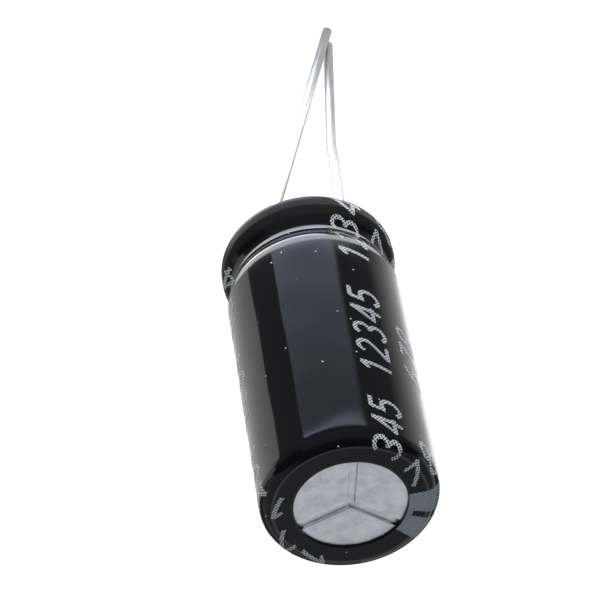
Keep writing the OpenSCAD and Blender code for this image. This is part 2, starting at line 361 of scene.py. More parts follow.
def make_stripe():
    """The field of ink, bare where a cell's middle lies in one of the dashes."""
    half = np.radians(STRIPE_SPAN / 2)
    middle = np.radians(STRIPE_MIDDLE)
    dash_half = DASH_W / 2 / FILM_R
    dashes = FIRST_DASH - DASH_STEP * np.arange(DASHES)
    angle = middle + lines_through(-half, half, STRIPE_CELLS / FILM_R, [-dash_half, dash_half])
    ends = np.concatenate([dashes - DASH_L / 2, dashes + DASH_L / 2])
    distance = lines_through(STRIPE_START, MERIDIAN_L - STRIPE_MARGIN, STRIPE_CELLS, ends)
    a = (angle[1:] + angle[:-1])[:, None] / 2 - middle
    d = (distance[1:] + distance[:-1])[None, :] / 2
    in_dash = (np.abs(d[..., None] - dashes) < DASH_L / 2).any(-1) & (np.abs(a) < dash_half)
    print(f"the stripe has {in_dash.sum()} bare cells of {in_dash.size}")
    return slab("stripe_ink", angle, distance, ~in_dash)


stripe = make_stripe()
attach(stripe, "root")
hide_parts("polarity_stripe")

# %% [markdown]
# ## Plain digits
#
# Small parts like this one carry rows of print all round. Here the rows hold plain counting
# digits. Blender's text could give them, but its outlines would have to be bent on to the
# film. So each digit is a few strokes, and each stroke is a line with a constant width, as
# a pen draws it: straight ones, and arcs of an ellipse. The cell of a digit is one unit
# high and leans a little, as italic print does.

# %% The strokes of the digits
LINE_POINTS, BOW_POINTS = 8, 28


def line(x0, y0, x1, y1):
    """A straight stroke between two points."""
    t = np.linspace(0, 1, LINE_POINTS)
    return np.stack([x0 + (x1 - x0) * t, y0 + (y1 - y0) * t], 1)


def bow(x, y, width, height, start, stop):
    """An arc of an ellipse with its middle at (x, y), from one angle to another."""
    a = np.radians(np.linspace(start, stop, BOW_POINTS))
    return np.stack([x + width / 2 * np.cos(a), y + height / 2 * np.sin(a)], 1)


DIGITS = {
    0: [bow(0.3, 0.5, 0.46, 0.9, 0, 360)],
    1: [line(0.12, 0.76, 0.34, 0.95), line(0.34, 0.98, 0.34, 0.05)],
    2: [bow(0.3, 0.72, 0.44, 0.46, 165, -35), line(0.49, 0.6, 0.06, 0.08), line(0.04, 0.08, 0.56, 0.08)],
    3: [bow(0.28, 0.73, 0.42, 0.44, 150, -90), bow(0.28, 0.28, 0.48, 0.46, 90, -150)],
    4: [line(0.44, 0.05, 0.44, 0.97), line(0.46, 0.95, 0.06, 0.32), line(0.03, 0.32, 0.58, 0.32)],
    5: [line(0.52, 0.92, 0.12, 0.92), line(0.14, 0.92, 0.1, 0.52), bow(0.28, 0.33, 0.48, 0.56, 130, -150)],
    6: [bow(0.3, 0.3, 0.46, 0.5, 0, 360), bow(0.48, 0.34, 0.84, 1.2, 110, 178)],
    7: [line(0.06, 0.92, 0.54, 0.92), line(0.52, 0.94, 0.2, 0.05)],
    8: [bow(0.3, 0.72, 0.4, 0.42, 0, 360), bow(0.3, 0.28, 0.48, 0.48, 0, 360)],
}
print(f"digits drawn: {sorted(DIGITS)}")

# %% [markdown]
# A stroke becomes a ribbon: at each point of its line the section is a flat rectangle, set
# square to the line, and the rectangle is carried along and capped. The text runs down the
# can from the vented end towards the leads, with the tops of the digits turned to larger
# angles.

# %% Make the rows of digits
DIGIT_H, DIGIT_STEP, STROKE_W = 2.1, 1.56, 0.27
LEAN = 0.22
PRINT_FROM, PRINT_MARGIN = 0.5, 0.1


def ribbon(path, angle, distance):
    """A stroke on the film: its line in digit units, its digit's corner in film coordinates."""
    heading = np.gradient(path, axis=0)
    closed = np.allclose(path[0], path[-1])
    if closed:
        heading[0] = heading[-1] = heading[0] + heading[-1]
    heading /= np.linalg.norm(heading, axis=1)[:, None]
    across = np.stack([-heading[:, 1], heading[:, 0]], 1) * STROKE_W / DIGIT_H / 2
    sides = np.array([-1, 1, 1, -1])
    lifts = np.broadcast_to([INK_TO, INK_TO, INK_FROM, INK_FROM], (len(path), 4))
    x = path[:, :1] + across[:, :1] * sides
    y = path[:, 1:] + across[:, 1:] * sides
    a = angle + y * DIGIT_H / FILM_R
    d = distance - (x + LEAN * y) * DIGIT_H
    points = on_film(a, d, lifts)
    if closed:
        points, a, d = points[:-1], a[:-1], d[:-1]
        quads = grid_faces(len(path) - 1, 4, True, True)
    else:
        last = (len(path) - 1) * 4
        caps = [[0, 1, 2, 3], [last + 3, last + 2, last + 1, last]]
        quads = np.concatenate([grid_faces(len(path), 4, False, True), caps])
    return (points, quads), print_uv(a, d)


def row_of_digits(name, angle, starts, text):
    """Groups of digits in one row: each group starts at a distance and runs down the can."""
    grids, uvs = [], []
    for start in starts:
        for place, digit in enumerate(text):
            distance = start - place * DIGIT_STEP
            if not PRINT_FROM < distance - DIGIT_STEP / 2 < MERIDIAN_L - PRINT_MARGIN:
                continue
            for path in DIGITS[digit]:
                grid, uv = ribbon(path, np.radians(angle) - DIGIT_H / FILM_R / 2, distance)
                grids.append(grid)
                uvs.append(uv)
    piece = shell(name, grids, uvs, smooth=False)
    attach(piece, "root")
    return piece


# For each row: its angle, where its groups start, as a height up the side and on over the
# corner, and the digits of a group.
ROWS = {
    "digits_a": (56, (6.3, 16.4, 26.0), (1, 2, 3, 4, 5)),
    "digits_b": (20.5, (4.6, 15.1, 25.0), (6, 7, 8)),
    "digits_c": (168, (7.4, 15.4, 23.4), (1, 2, 3, 4)),
    "digits_d": (204, (5.2, 14.2, 24.6), (6, 7, 8)),
    "digits_e": (232, (7.0, 15.0, 23.2), (1, 2, 3, 4)),
    "digits_f": (258, (6.3, 17.4), (6, 7, 8)),
    "digits_g": (284, (10.4, 18.6), (1, 2, 3, 4, 5)),
}
digits = [row_of_digits(name, angle, [ON_SIDE_AT + s for s in starts], text)
          for name, (angle, starts, text) in ROWS.items()]

# %% [markdown]
# ## The can
#
# The can is drawn from one disc of aluminium, and its end is scored with three arms so that
# it opens there if the pressure rises. The rest of it is a turned form, but the score isn't.
# A bump could only suggest it, so the end is laid out in six equal sectors, each from the
# middle of an arm to the line halfway to the next. In a sector the grid lines run parallel
# to the arm, which lets the score keep a crisp, straight edge, and they end on the circle
# where the turned part starts, with the same points.

# %% Make the can
SCORE_W, SCORE_FLOOR_W, SCORE_DEPTH = 0.5, 0.36, 0.15
SCORE_INSET, SCORE_STOP = 1.3, 0.04
SCORE_END = CAN_R - SCORE_INSET
FACE_R = CAN_R - END_RADIUS
ARMS = (79, 199, 319)
SECTOR = 60
FLOOR_LINES, WALL_LINES, FACE_LINES, ARM_POINTS = 4, 11, 27, 60
SAME_ANGLE_DIGITS = 7


def score_depth(w, a):
    """Depth below the face, from the distance w to the arm's middle line and a along it."""
    wall = np.clip((SCORE_W / 2 - np.abs(w)) / (SCORE_W - SCORE_FLOOR_W) * 2, 0, 1)
    past_end = np.clip((a - SCORE_END) / SCORE_STOP + 1, 0, 1)
    return SCORE_DEPTH * ease(wall) * (1 - ease(past_end))


def sector_lines():
    """Distances from the arm's middle line: close together over the score's wall."""
    floor = np.linspace(0, SCORE_FLOOR_W / 2, FLOOR_LINES)[:-1]
    wall = np.linspace(SCORE_FLOOR_W / 2, SCORE_W / 2, WALL_LINES)
    start = np.degrees(np.arcsin(SCORE_W / 2 / FACE_R))
    face = FACE_R * np.sin(np.radians(np.linspace(start, SECTOR, FACE_LINES)[1:]))
    return np.concatenate([floor, wall, face])


def sector_grid(direction, side):
    """One sector of the end: along the arm from the halfway line to the circle."""
    w = sector_lines()[:, None]
    t = np.linspace(0, 1, ARM_POINTS)[None, :]
    inner, outer = w / np.tan(np.radians(SECTOR)), np.sqrt(np.maximum(FACE_R**2 - w**2, 0))
    a = inner + (outer - inner) * t
    z = CAN_TOP - score_depth(w, a)
    c, s = np.cos(np.radians(direction)), np.sin(np.radians(direction))
    return np.stack([a * c - side * w * s, a * s + side * w * c, z], 2)


def can_section():
    """From the end's circle down the outside, round the curl's edge and up the inside."""
    outer = outline(0, -CURL_SWEEP)[::-1]
    inner = outline(-CAN_WALL, -CURL_SWEEP)[::2]
    pole = np.array([[0, CAN_TOP - CAN_WALL]])
    return np.concatenate([outer, inner, pole])


grids = []
for arm in ARMS:
    for side in (1, -1):
        points = sector_grid(arm, side)
        quads = grid_faces(*points.shape[:2])
        grids.append((points, quads if side > 0 else quads[:, ::-1]))
lines = np.degrees(np.arcsin(np.clip(sector_lines() / FACE_R, 0, 1)))
all_lines = np.concatenate([(arm + side * lines) % 360 for arm in ARMS for side in (1, -1)])
rim_angles = np.unique(np.round(all_lines, SAME_ANGLE_DIGITS))
print(f"{len(rim_angles)} lines down the can's side")
turned_can = turned(can_section(), np.radians(rim_angles))
grids.append((turned_can, grid_faces(*turned_can.shape[:2], True, False)))
can = shell("can_drawn", grids)
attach(can, "root")
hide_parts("can")

# %% [markdown]
# ## The wires
#
# Each lead is a tinned wire, welded to an aluminium boss inside the rubber. It comes
# straight out, and whoever handled this part bent both wires until they crossed near their
# tips. A curve with a round bevel would draw a wire, but here the radius also changes: a
# weld cone at the head, a chamfer at the snipped tip. So the line of a wire is a chain of
# straight runs and circular bends in one upright plane, and the wire is a ring of points
# carried along it, square to the line.

# %% Make the wires
WIRE_R = 0.3
BOSS_R = 0.75
WELD_Z = 1.3
SEAL_INSET = 0.25
STRAIGHT = 1.1
BEND_R = 1.6
SNIP_W = 0.06
LEAD_X = 2.5
WIRE_SIDES, BEND_STEPS, RUN_STEP = 40, 12, 0.35


def wire_line(runs):
    """Distance out, height and heading of a line that goes down and bends outwards.

    Each run is a straight length and the angle of the bend that follows it.
    """
    points, heading, at, turn = [], [], np.array([0.0, SEAL_INSET]), 0.0
    for length, bend in runs:
        t = np.linspace(0, length, max(3, int(length / RUN_STEP)))
        points.append(at + np.stack([np.sin(turn) * t, -np.cos(turn) * t], 1))
        heading.append(np.full(len(t), turn))
        at = points[-1][-1]
        if bend:
            a = turn + np.radians(np.linspace(0, bend, BEND_STEPS + 1))[1:]
            middle = at + BEND_R * np.array([np.cos(turn), np.sin(turn)])
            points.append(middle - BEND_R * np.stack([np.cos(a), np.sin(a)], 1))
            heading.append(a)
            at, turn = points[-1][-1], a[-1]
    return np.concatenate(points), np.concatenate(heading)


def lead(name, node, x, turn, runs):
    """A wire with a weld cone at its head and a chamfer at its tip."""
    path, heading = wire_line(runs)
    head = np.array([[0, WELD_Z], [0, WELD_Z], [0, SEAL_INSET]])
    tip_way = np.array([np.sin(heading[-1]), -np.cos(heading[-1])])
    tip = np.stack([path[-1] - SNIP_W * tip_way, path[-1], path[-1]])
    centre = np.concatenate([head, path[1:-1], tip])
    angle = np.concatenate([[0, 0, 0], heading[1:-1], np.full(3, heading[-1])])
    full = np.full(len(path) - 2, WIRE_R)
    radius = np.concatenate([[0, BOSS_R, WIRE_R], full, [WIRE_R, WIRE_R - SNIP_W, 0]])
    round_it = np.linspace(0, 2 * np.pi, WIRE_SIDES, endpoint=False)
    out = centre[:, :1] + radius[:, None] * np.cos(round_it) * np.cos(angle)[:, None]
    z = centre[:, 1:] + radius[:, None] * np.cos(round_it) * np.sin(angle)[:, None]
    across = radius[:, None] * np.sin(round_it)
    c, s = np.cos(np.radians(turn)), np.sin(np.radians(turn))
    points = np.stack([x + out * c - across * s, out * s + across * c, z], 2)
    steps = np.hypot(*np.diff(centre, axis=0).T)
    length = np.concatenate([[0], np.cumsum(steps)])
    uv = np.stack(np.broadcast_arrays(round_it * WIRE_R, length[:, None]), -1).reshape(-1, 2)
    piece = shell(name, [(points, grid_faces(*points.shape[:2], False, True))], [uv])
    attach(piece, "root")
    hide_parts(node)
    return piece


POSITIVE_TURN, NEGATIVE_TURN = 3.2, -15
# Straight lengths, each with the bend that follows it in degrees.
POSITIVE_RUNS = [(STRAIGHT + SEAL_INSET, 17.8), (20.9, 0)]
NEGATIVE_RUNS = [(STRAIGHT + SEAL_INSET, 2), (9.4, 3.8), (10.3, 0)]
leads = [
    lead("positive_wire", "positive_lead", -LEAD_X, POSITIVE_TURN, POSITIVE_RUNS),
    lead("negative_wire", "negative_lead", LEAD_X, NEGATIVE_TURN, NEGATIVE_RUNS),
]

# %% [markdown]
# ## Shader maths
#
# A material is a small graph, and most of it is arithmetic. The class below wraps a socket
# so that the arithmetic reads as it would on paper: an expression on values adds the Math
# nodes. Every node comes from one method, which takes its type, its settings and what goes
# into its sockets, and the short methods after it only name what is used often.

# %% Sockets as values
class Value:
    """A number that varies over a surface: one output socket of a node graph."""

    def __init__(self, graph, socket):
        self.graph, self.socket = graph, socket

    def __add__(self, other):
        return self.graph.maths("ADD", self, other)

    def __sub__(self, other):
        return self.graph.maths("SUBTRACT", self, other)

    def __rsub__(self, other):
        return self.graph.maths("SUBTRACT", other, self)

    def __mul__(self, other):
        return self.graph.maths("MULTIPLY", self, other)

    __radd__, __rmul__ = __add__, __mul__


class Graph:
    """The node graph of a material or of the world."""

    def __init__(self, owner):
        owner.use_nodes = True
        self.tree = owner.node_tree
        self.tree.nodes.clear()

    def node(self, kind, settings=None, inputs=None, output=0):
        """Adds a node: settings first, then each input as a number, a colour or a link."""
        made = self.tree.nodes.new(kind)
        for key, value in (settings or {}).items():
            if key == "stops":
                ramp = made.color_ramp
                while len(ramp.elements) < len(value):
                    ramp.elements.new(1)
                for element, (place, tone) in zip(ramp.elements, value):
                    element.position, element.color = place, (*tone, 1)
            else:
                setattr(made, key, value)
        for key, value in (inputs or {}).items():
            if isinstance(value, Value):
                self.tree.links.new(value.socket, made.inputs[key])
            else:
                made.inputs[key].default_value = value
        return Value(self, made.outputs[output]) if made.outputs else made

    def maths(self, operation, *values):
        """A Math node on values and numbers."""
        return self.node("ShaderNodeMath", {"operation": operation}, dict(enumerate(values)))

    def on_object(self):
        """Object coordinates, in metres."""
        return self.node("ShaderNodeTexCoord", output=3)

    def on_map(self):
        """The piece's own UV map, in millimetres."""
        return self.node("ShaderNodeUVMap", {"uv_map": "UVMap"})

    def axis(self, where, k):
        """One coordinate: 0 for x, 1 for y and 2 for z."""
        return self.node("ShaderNodeSeparateXYZ", {}, {0: where}, k)

    def smooth(self, value, low, high):
        """A smooth step: 0 below low, 1 above high."""
        return self.node("ShaderNodeMapRange", {"interpolation_type": "SMOOTHSTEP"},
                         {"Value": value, "From Min": low, "From Max": high})

    def noise(self, where, scale, detail=3.0, roughness=0.5):
        """Noise from 0 to 1 over the coordinates given."""
        return self.node("ShaderNodeTexNoise", {"noise_dimensions": "3D"}, {
            "Vector": where, "Scale": scale, "Detail": detail, "Roughness": roughness})

    def mix(self, factor, first, second):
        """A blend of two colours."""
        return self.node("ShaderNodeMix", {"data_type": "RGBA"}, {0: factor, 6: first, 7: second}, 2)

    def scaled(self, where, by):
        """Coordinates multiplied by a vector."""
        return self.node("ShaderNodeVectorMath", {"operation": "MULTIPLY"}, {0: where, 1: by})

    def bump(self, height, distance):
        """A bumped normal from a height that varies from 0 to 1, over a distance in metres."""
        return self.node("ShaderNodeBump", {}, {"Height": height, "Distance": distance})

    def mix_shader(self, factor, first, second):
        """A blend of two shaders."""
        return self.node("ShaderNodeMixShader", {}, {0: factor, 1: first, 2: second})

    def shader(self, constants, varying):
        """A surface: constants set on the shader's own sockets, and links for what varies."""
        return self.node("ShaderNodeBsdfPrincipled", {}, {**constants, **varying})

    def cover(self, surface):
        """Sends a shader to the material's output."""
        self.node("ShaderNodeOutputMaterial", {}, {"Surface": surface})

    def principled(self, constants, varying):
        """One surface, straight to the material's output."""
        self.cover(self.shader(constants, varying))


# %% [markdown]
# Three helpers go with it: a band with soft edges, a material built by a function, and a
# way to give one material to several pieces.

# %% Bands and materials
def between(g, value, low, high, soft_low, soft_high):
    """A band: 1 between low and high, with a soft edge on each side."""
    rise = g.smooth(value, low - soft_low, low + soft_low)
    return rise * (1 - g.smooth(value, high - soft_high, high + soft_high))


def material(name, build):
    """A material whose graph is built by a function."""
    made = bpy.data.materials.new(name)
    build(Graph(made))
    return made


def dress(objects, finish):
    """Gives a finish to objects, in place of what they have."""
    for item in objects:
        item.data.materials.clear()
        item.data.materials.append(finish)
    print(f"{finish.name}:", ", ".join(item.name for item in objects))


# %% [markdown]
# ## Finishes
#
# The film is black, with a hard gloss. What the eye reads as its colour is the studio in
# it, so the finish is mostly gloss: faint ripples, a few grains of dust caught under the
# film, and a little haze. Over the rim it was drawn the most and turned dull, so a second
# shader takes over below DULL_TO. The ink is printed through a screen, which leaves fine
# bare dots, and the black film shows through them. A picture could carry the dots, but two
# crossed sine waves over the UV map stay sharp from any distance. The stripe's ink is
# darker, and denser between the dots.

# %% Film and ink
FILM_BLACK = (0.0055, 0.0055, 0.0075, 1)
FILM_HAZED = (0.017, 0.017, 0.018, 1)
DUST = (0.8, 0.82, 0.85, 1)
INK = (0.56, 0.61, 0.67, 1)
STRIPE_INK = (0.30, 0.35, 0.41, 1)
DUST_CELLS = 1500.0
DUST_CHOSEN, DUST_SIZE = (0.72, 0.73), (0.05, 0.1)
DULL_TO = (1.7, 2.1)
SCREEN_PITCH, SCREEN_EDGE = 0.17, (-0.75, 0.15)


def film_finish(g):
    """Gloss with dust: a grain sits in the middle of each chosen cell of a Voronoi pattern."""
    where = g.on_object()
    cells = {"Vector": where, "Scale": DUST_CELLS}
    grains, lot = (g.node("ShaderNodeTexVoronoi", {"feature": "F1"}, cells, k) for k in (0, 1))
    chosen = g.smooth(g.node("ShaderNodeSeparateColor", {}, {0: lot}, 0), *DUST_CHOSEN)
    grain = (1 - g.smooth(grains, *DUST_SIZE)) * chosen
    haze = g.noise(where, 240.0)
    ripple = g.noise(where, 420.0, 1.0) * 0.02 + grain
    height = g.axis(where, 2) * (1 / MM)
    clear = g.shader({"IOR": 1.5}, {
        "Base Color": g.mix(grain * 0.8, FILM_BLACK, DUST),
        "Roughness": haze * 0.05 + 0.035 + grain * 0.3,
        "Normal": g.bump(ripple, 0.00004),
    })
    drawn = g.shader({"IOR": 1.12, "Base Color": FILM_HAZED, "Roughness": 0.3}, {})
    g.cover(g.mix_shader(g.smooth(height, *DULL_TO), drawn, clear))


def ink_finish(g, tone, least):
    """Ink through a screen: the sum of two crossed sine waves, cut off at a soft edge.

    Least is the cover where the screen leaves the film bare.
    """
    where = g.on_map()
    u, v = g.axis(where, 0), g.axis(where, 1)
    turn = 2 * np.pi / SCREEN_PITCH / np.sqrt(2)
    waves = g.maths("SINE", (u + v) * turn) + g.maths("SINE", (u - v) * turn)
    screen = g.smooth(waves, *SCREEN_EDGE)
    wear = g.smooth(g.noise(g.on_object(), 900.0), 0.25, 0.5)
    cover = (screen * (1 - least) + least) * (wear * 0.25 + 0.75)
    g.principled({"IOR": 1.5}, {
        "Base Color": g.mix(cover, FILM_BLACK, tone),
        "Roughness": cover * 0.2 + 0.12,
    })


dress([sleeve], material("black_film", film_finish))
dress(digits, material("screened_ink", lambda g: ink_finish(g, INK, 0.0)))
dress([stripe], material("stripe_ink", lambda g: ink_finish(g, STRIPE_INK, 0.45)))

# %% [markdown]
# The can's end is satin: drawing and washing leave a fine, even grain and pale clouds. The
# punch that pressed the score left its walls smoother than the face. The wires are bright
# tin, drawn through a die, so their streaks run along them, which the UV map gives. Each
# metal is a blend of a darker and a paler tone.

# %% Metals
ALUMINIUM = (0.66, 0.685, 0.72, 1), (0.96, 0.97, 0.99, 1)
TIN = (0.50, 0.51, 0.51, 1), (0.68, 0.69, 0.69, 1)
TAB_ALUMINIUM = (0.6, 0.61, 0.62, 1), (0.74, 0.75, 0.76, 1)
# Depths below the face in millimetres, and how soft each end of the band is.
SCORE_WALL = (0.015, 0.14, 0.01, 0.01)


def can_finish(g):
    """Satin with clouds of noise; the score's walls are glossier."""
    where = g.on_object()
    clouds = g.smooth(g.noise(where, 1300.0, 4.0, 0.65), 0.3, 0.7)
    grain = g.noise(where, 9000.0, 2.0, 0.6)
    pressed = between(g, CAN_TOP - g.axis(where, 2) * (1 / MM), *SCORE_WALL)
    g.principled({"Metallic": 1.0}, {
        "Base Color": g.mix(clouds, *ALUMINIUM),
        "Roughness": clouds * 0.12 + 0.34 - pressed * 0.28,
        "Normal": g.bump(grain, 0.000004),
    })


def tin_finish(g):
    """Bright tin: noise squeezed across the wire gives streaks, and wide noise gives stains."""
    streaks = g.noise(g.scaled(g.on_map(), (9.0, 0.35, 1.0)), 1.6, 3.0)
    stains = g.noise(g.on_object(), 700.0, 3.0)
    g.principled({"Metallic": 1.0}, {
        "Base Color": g.mix(stains, *TIN),
        "Roughness": streaks * 0.2 + 0.2,
        "Normal": g.bump(streaks, 0.000012),
    })


def tab_finish(g):
    """Pressed aluminium: marks of noise, drawn out along the tab."""
    marks = g.noise(g.scaled(g.on_object(), (1.0, 1.0, 0.2)), 3000.0, 3.0)
    g.principled({"Metallic": 1.0}, {
        "Base Color": g.mix(marks, *TAB_ALUMINIUM),
        "Roughness": marks * 0.2 + 0.3,
    })


dress([can], material("satin_aluminium", can_finish))
dress(leads, material("bright_tin", tin_finish))
dress([nodes["anode_tab"], nodes["cathode_tab"]], material("pressed_aluminium", tab_finish))

# %% [markdown]
# The rubber bung shows at the lead end, inside the curl. The roll and its tape are sealed
# in the can, and get the plain look of kraft paper and yellowed tape.

# %% Rubber, paper and tape
RUBBER = (0.012, 0.012, 0.013, 1), (0.035, 0.035, 0.036, 1)
PAPER = (0.5, 0.4, 0.25, 1), (0.72, 0.63, 0.46, 1)
TAPE = (0.62, 0.56, 0.36, 1), (0.75, 0.71, 0.55, 1)


def rubber_finish(g):
    """Matt rubber: fine noise for pores, wide noise for the bloom on it."""
    where = g.on_object()
    pores = g.noise(where, 5000.0, 4.0, 0.65)
    bloom = g.noise(where, 500.0, 3.0)
    g.principled({}, {
        "Base Color": g.mix(bloom, *RUBBER),
        "Roughness": pores * 0.25 + 0.5,
        "Normal": g.bump(pores, 0.00002),
    })


def paper_finish(g):
    """Paper: noise drawn out along the roll, for fibres."""
    fibres = g.noise(g.scaled(g.on_object(), (1.0, 1.0, 0.25)), 4000.0, 4.0)
    g.principled({}, {
        "Base Color": g.mix(fibres, *PAPER),
        "Roughness": fibres * 0.2 + 0.55,
        "Normal": g.bump(fibres, 0.00001),
    })


def tape_finish(g):
    """Yellowed tape: wide, soft noise."""
    yellowing = g.noise(g.on_object(), 800.0, 2.0)
    g.principled({}, {
        "Base Color": g.mix(yellowing, *TAPE),
        "Roughness": yellowing * 0.1 + 0.3,
    })


dress([nodes["rubber_seal"]], material("moulded_rubber", rubber_finish))
dress([nodes["wound_element"]], material("kraft_paper", paper_finish))
dress([nodes["fixing_tape"]], material("clear_tape", tape_finish))

# %% [markdown]
# ## The camera
#
# The photograph looks down on the vented end from the +Y side, at about 48 degrees above
# the plane of the sleeve's rings, and it is turned almost upside down, so the leads point up
# in the picture. A long lens keeps the sides of the can nearly parallel.

# %% Place the camera
ELEVATION = 47.83
ROLL = 190.25
DISTANCE = 228.8
FOCAL_PX = 17.113 * DISTANCE
PICTURE_PX = 600
AIM = np.array([0, 0, 10.92])
AIM_PX = (327.67, 376.86)


def photo_axes():
    """Right, up and back of the camera: looking at the aim, rolled, then turned off it."""
    e, roll = np.radians(ELEVATION), np.radians(ROLL)
    back = np.array([0, np.cos(e), np.sin(e)])
    level = np.array([-1.0, 0, 0])
    rise = np.cross(back, level)
    right = np.cos(roll) * level - np.sin(roll) * rise
    up = np.sin(roll) * level + np.cos(roll) * rise
    off_x, off_y = AIM_PX[0] - PICTURE_PX / 2, PICTURE_PX / 2 - AIM_PX[1]
    away = FOCAL_PX * back + off_x * right + off_y * up
    away /= np.linalg.norm(away)
    right -= right.dot(away) * away
    right /= np.linalg.norm(right)
    return right, np.cross(away, right), away, AIM + DISTANCE * back


right, up, away, place = photo_axes()
camera_data = bpy.data.cameras.new("camera")
camera = bpy.data.objects.new("camera", camera_data)
bpy.context.scene.collection.objects.link(camera)
camera_data.sensor_width = 36
camera_data.lens = FOCAL_PX / PICTURE_PX * camera_data.sensor_width
camera_data.clip_start, camera_data.clip_end = 0.01, 20
turn = Matrix(np.stack([right, up, away], 1).tolist()).to_4x4()
camera.matrix_world = Matrix.Translation(place * MM) @ turn
bpy.context.scene.camera = camera
print(f"lens {camera_data.lens:.0f} mm, camera at", place.round(1), "mm")

# %% [markdown]
# ## Floor, studio and lamps
#
# Glossy black shows only what is around it, so the studio is part of the finish. Real cards
# would cast shadows and stand in the picture, so these are only levels that mirror rays
# find. Those that go down meet the floor, and those that go up meet the world. Both show
# the same cards, placed by their azimuth, which is counted from +Y towards +X: a bluish
# window in front, a black gap on each side of it, a white card on the left and one on the
# right. Camera rays see plain white, and diffuse rays see a plain, even level.

# %% Cards round the part
NEUTRAL, WINDOW_BLUE = (1, 1, 1, 1), (0.92, 1.0, 1.3, 1)


def polar(g, where):
    """Azimuth in degrees from +Y towards +X, distance from the Z axis, and height."""
    x, y, z = (g.axis(where, k) for k in range(3))
    azimuth = g.maths("ARCTAN2", x, y) * (180 / np.pi)
    return azimuth, g.maths("SQRT", x * x + y * y), z


def curve(g, value, run):
    """A run of levels, straight from each place to the next: a ramp, scaled to its top level."""
    places, levels = zip(*run)
    span, top = places[-1] - places[0], max(levels)
    stops = [((p - places[0]) / span, (v / top,) * 3) for p, v in run]
    ramp = g.node("ShaderNodeValToRGB", {"stops": stops}, {0: (value - places[0]) * (1 / span)})
    return g.node("ShaderNodeSeparateColor", {}, {0: ramp}, 0) * top


def emission(g, colour, strength):
    """Plain light of a colour, at a strength where 1 is white."""
    return g.node("ShaderNodeEmission", {}, {"Color": colour, "Strength": strength})


# %% [markdown]
# The floor is a pale sheet under the tips of the leads. For mirror rays it glows in rings
# round the part, which the groove and the rim draw together into thin bright lines: a
# bright ring out to 27 mm, a level that falls from there to 43 mm, a narrow glow at 45 mm,
# and a dark sheet beyond. A plain white floor would turn the whole sleeve grey. A band
# below says where it starts and ends, then how soft each edge is. A run lists places, each
# with its level. Distances are in millimetres, and azimuths in degrees.

# %% Levels on the floor
WINDOW = (-41.7, 35, 0.6, 4.0)
WINDOW_FALL = (
    (26.5, 0.0), (27, 0.8), (27.45, 1.35), (27.7, 1.2), (29.9, 0.93), (32.1, 0.81),
    (34.4, 0.67), (36.7, 0.62), (39.1, 0.49), (41.6, 0.44), (42.7, 0.4),
)
WINDOW_ENDS = (45.1, 45.4)
EDGE_GLOW, EDGE_LEVEL = (44.3, 45.25, 0.45, 0.12), 2.0
BEYOND, BEYOND_LEVEL = (47, 60), 0.12
GAP_LEVEL = 0.1
CARDS_END_BEHIND = (-56, -46)
LEFT_CARD_FROM, LEFT_LEVEL = (-80.5, -79), 0.68
RIGHT_CARD_FROM = (78, 80)
RIGHT_CARD = ((78, 0.0), (90, 0.25), (105, 0.5), (130, 0.85), (150, 1.3), (180, 1.05))
CARDS_RISE = ((0, 0.1), (22, 0.1), (24, 1.0), (60, 1.0))
RING, RING_LEVEL = (17.5, 26.95, 1.5, 0.45), 6
RING_SPAN = (-110, 110, 8, 8)
SQUARED_TO_TURN, RING_SHIFT, RING_DIMMING = 0.0001, 1.9, 3.5
INNER_RING, INNER_LEVEL, INNER_ENDS = (4.0, 17.5, 0.5, 1.5), 4.5, (0.8, 1.2)
LEFT_FRONT = (0.0, 6)
UNDER_ENDS, UNDER_LEVEL, UNDER_LEFT_LEVEL = (16, 19), 0.5, 1.2


def window_on_floor(g, distance):
    """The window: a falling level, cut off, then the narrow glow and what is beyond it."""
    falling = curve(g, distance, WINDOW_FALL) * (1 - g.smooth(distance, *WINDOW_ENDS))
    glow = between(g, distance, *EDGE_GLOW) * EDGE_LEVEL
    return falling + glow + g.smooth(distance, *BEYOND) * BEYOND_LEVEL


def side_cards_on_floor(g, azimuth, distance, y):
    """The left card at one level and the right card as a run, both only away from the part."""
    before_back = g.smooth(y, *CARDS_END_BEHIND)
    left = (1 - g.smooth(azimuth, *LEFT_CARD_FROM)) * before_back
    right = before_back * curve(g, azimuth, RIGHT_CARD) * g.smooth(azimuth, *RIGHT_CARD_FROM)
    return (left * LEFT_LEVEL + right) * curve(g, distance, CARDS_RISE)


def rings_on_floor(g, azimuth, distance, left_front):
    """A ring that moves in and dims with the square of the azimuth, and a second inside it."""
    turned_off = azimuth * azimuth * SQUARED_TO_TURN
    ring = between(g, distance + turned_off * RING_SHIFT, *RING)
    ring = ring * (RING_LEVEL - turned_off * RING_DIMMING)
    inner = between(g, distance, *INNER_RING) * left_front
    inner = inner * (1 - g.smooth(turned_off, *INNER_ENDS)) * INNER_LEVEL
    return (ring + inner) * between(g, azimuth, *RING_SPAN)


print(f"the window on the floor runs from {WINDOW_FALL[0][0]} to {WINDOW_ENDS[1]} mm")

# %% Floor
FLOOR_DROP = 21.7
FLOOR_Z = sleeve_lo[2] - FLOOR_DROP
FLOOR_HALF, FLOOR_LINES_EACH_WAY = 4000, 9
FLOOR_TONE, FLOOR_GLOW = (0.55, 0.55, 0.55, 1), 0.88
BLUE_SHARE, BLUE_FULL = 0.6, (26.5, 28)


